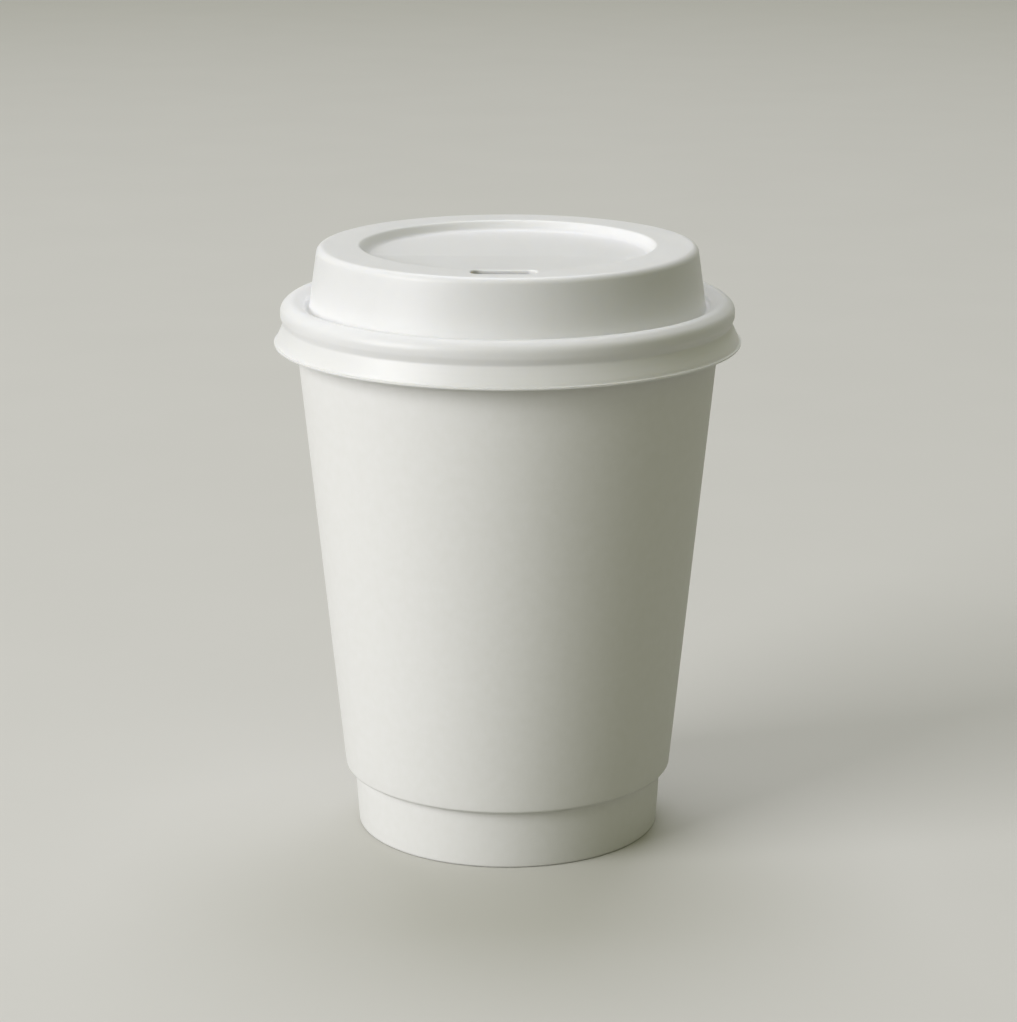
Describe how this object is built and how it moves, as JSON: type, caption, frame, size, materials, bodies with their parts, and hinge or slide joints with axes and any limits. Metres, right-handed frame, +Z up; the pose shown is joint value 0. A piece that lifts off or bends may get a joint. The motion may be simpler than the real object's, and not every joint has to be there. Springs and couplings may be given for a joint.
{
  "type": "paper coffee cup",
  "caption": "Double-wall paper takeaway cup with rolled rim, folded foot and a press-on plastic travel lid with a recessed top and a sip slot.",
  "frame": {"origin": "centre of the standing ring, on the surface that the cup stands on", "axes": "+Z up along the cup's axis; the lid's sip slot lies towards -Y"},
  "size_m": [0.094, 0.094, 0.1211],
  "materials": {
    "cup_paper": "satin",
    "wrap_paper": "matte",
    "lid_plastic": "satin"
  },
  "bodies": {
    "cup": {"cup_wall": "cup_paper", "cup_bottom": "cup_paper", "outer_wrap": "wrap_paper"},
    "lid": {"lid": "lid_plastic"}
  },
  "joints": [
    {"name": "lid_lift", "type": "slide", "parent": "cup", "child": "lid", "axis": [0, 0, 1], "range_m": [0, 0.04]}
  ]
}
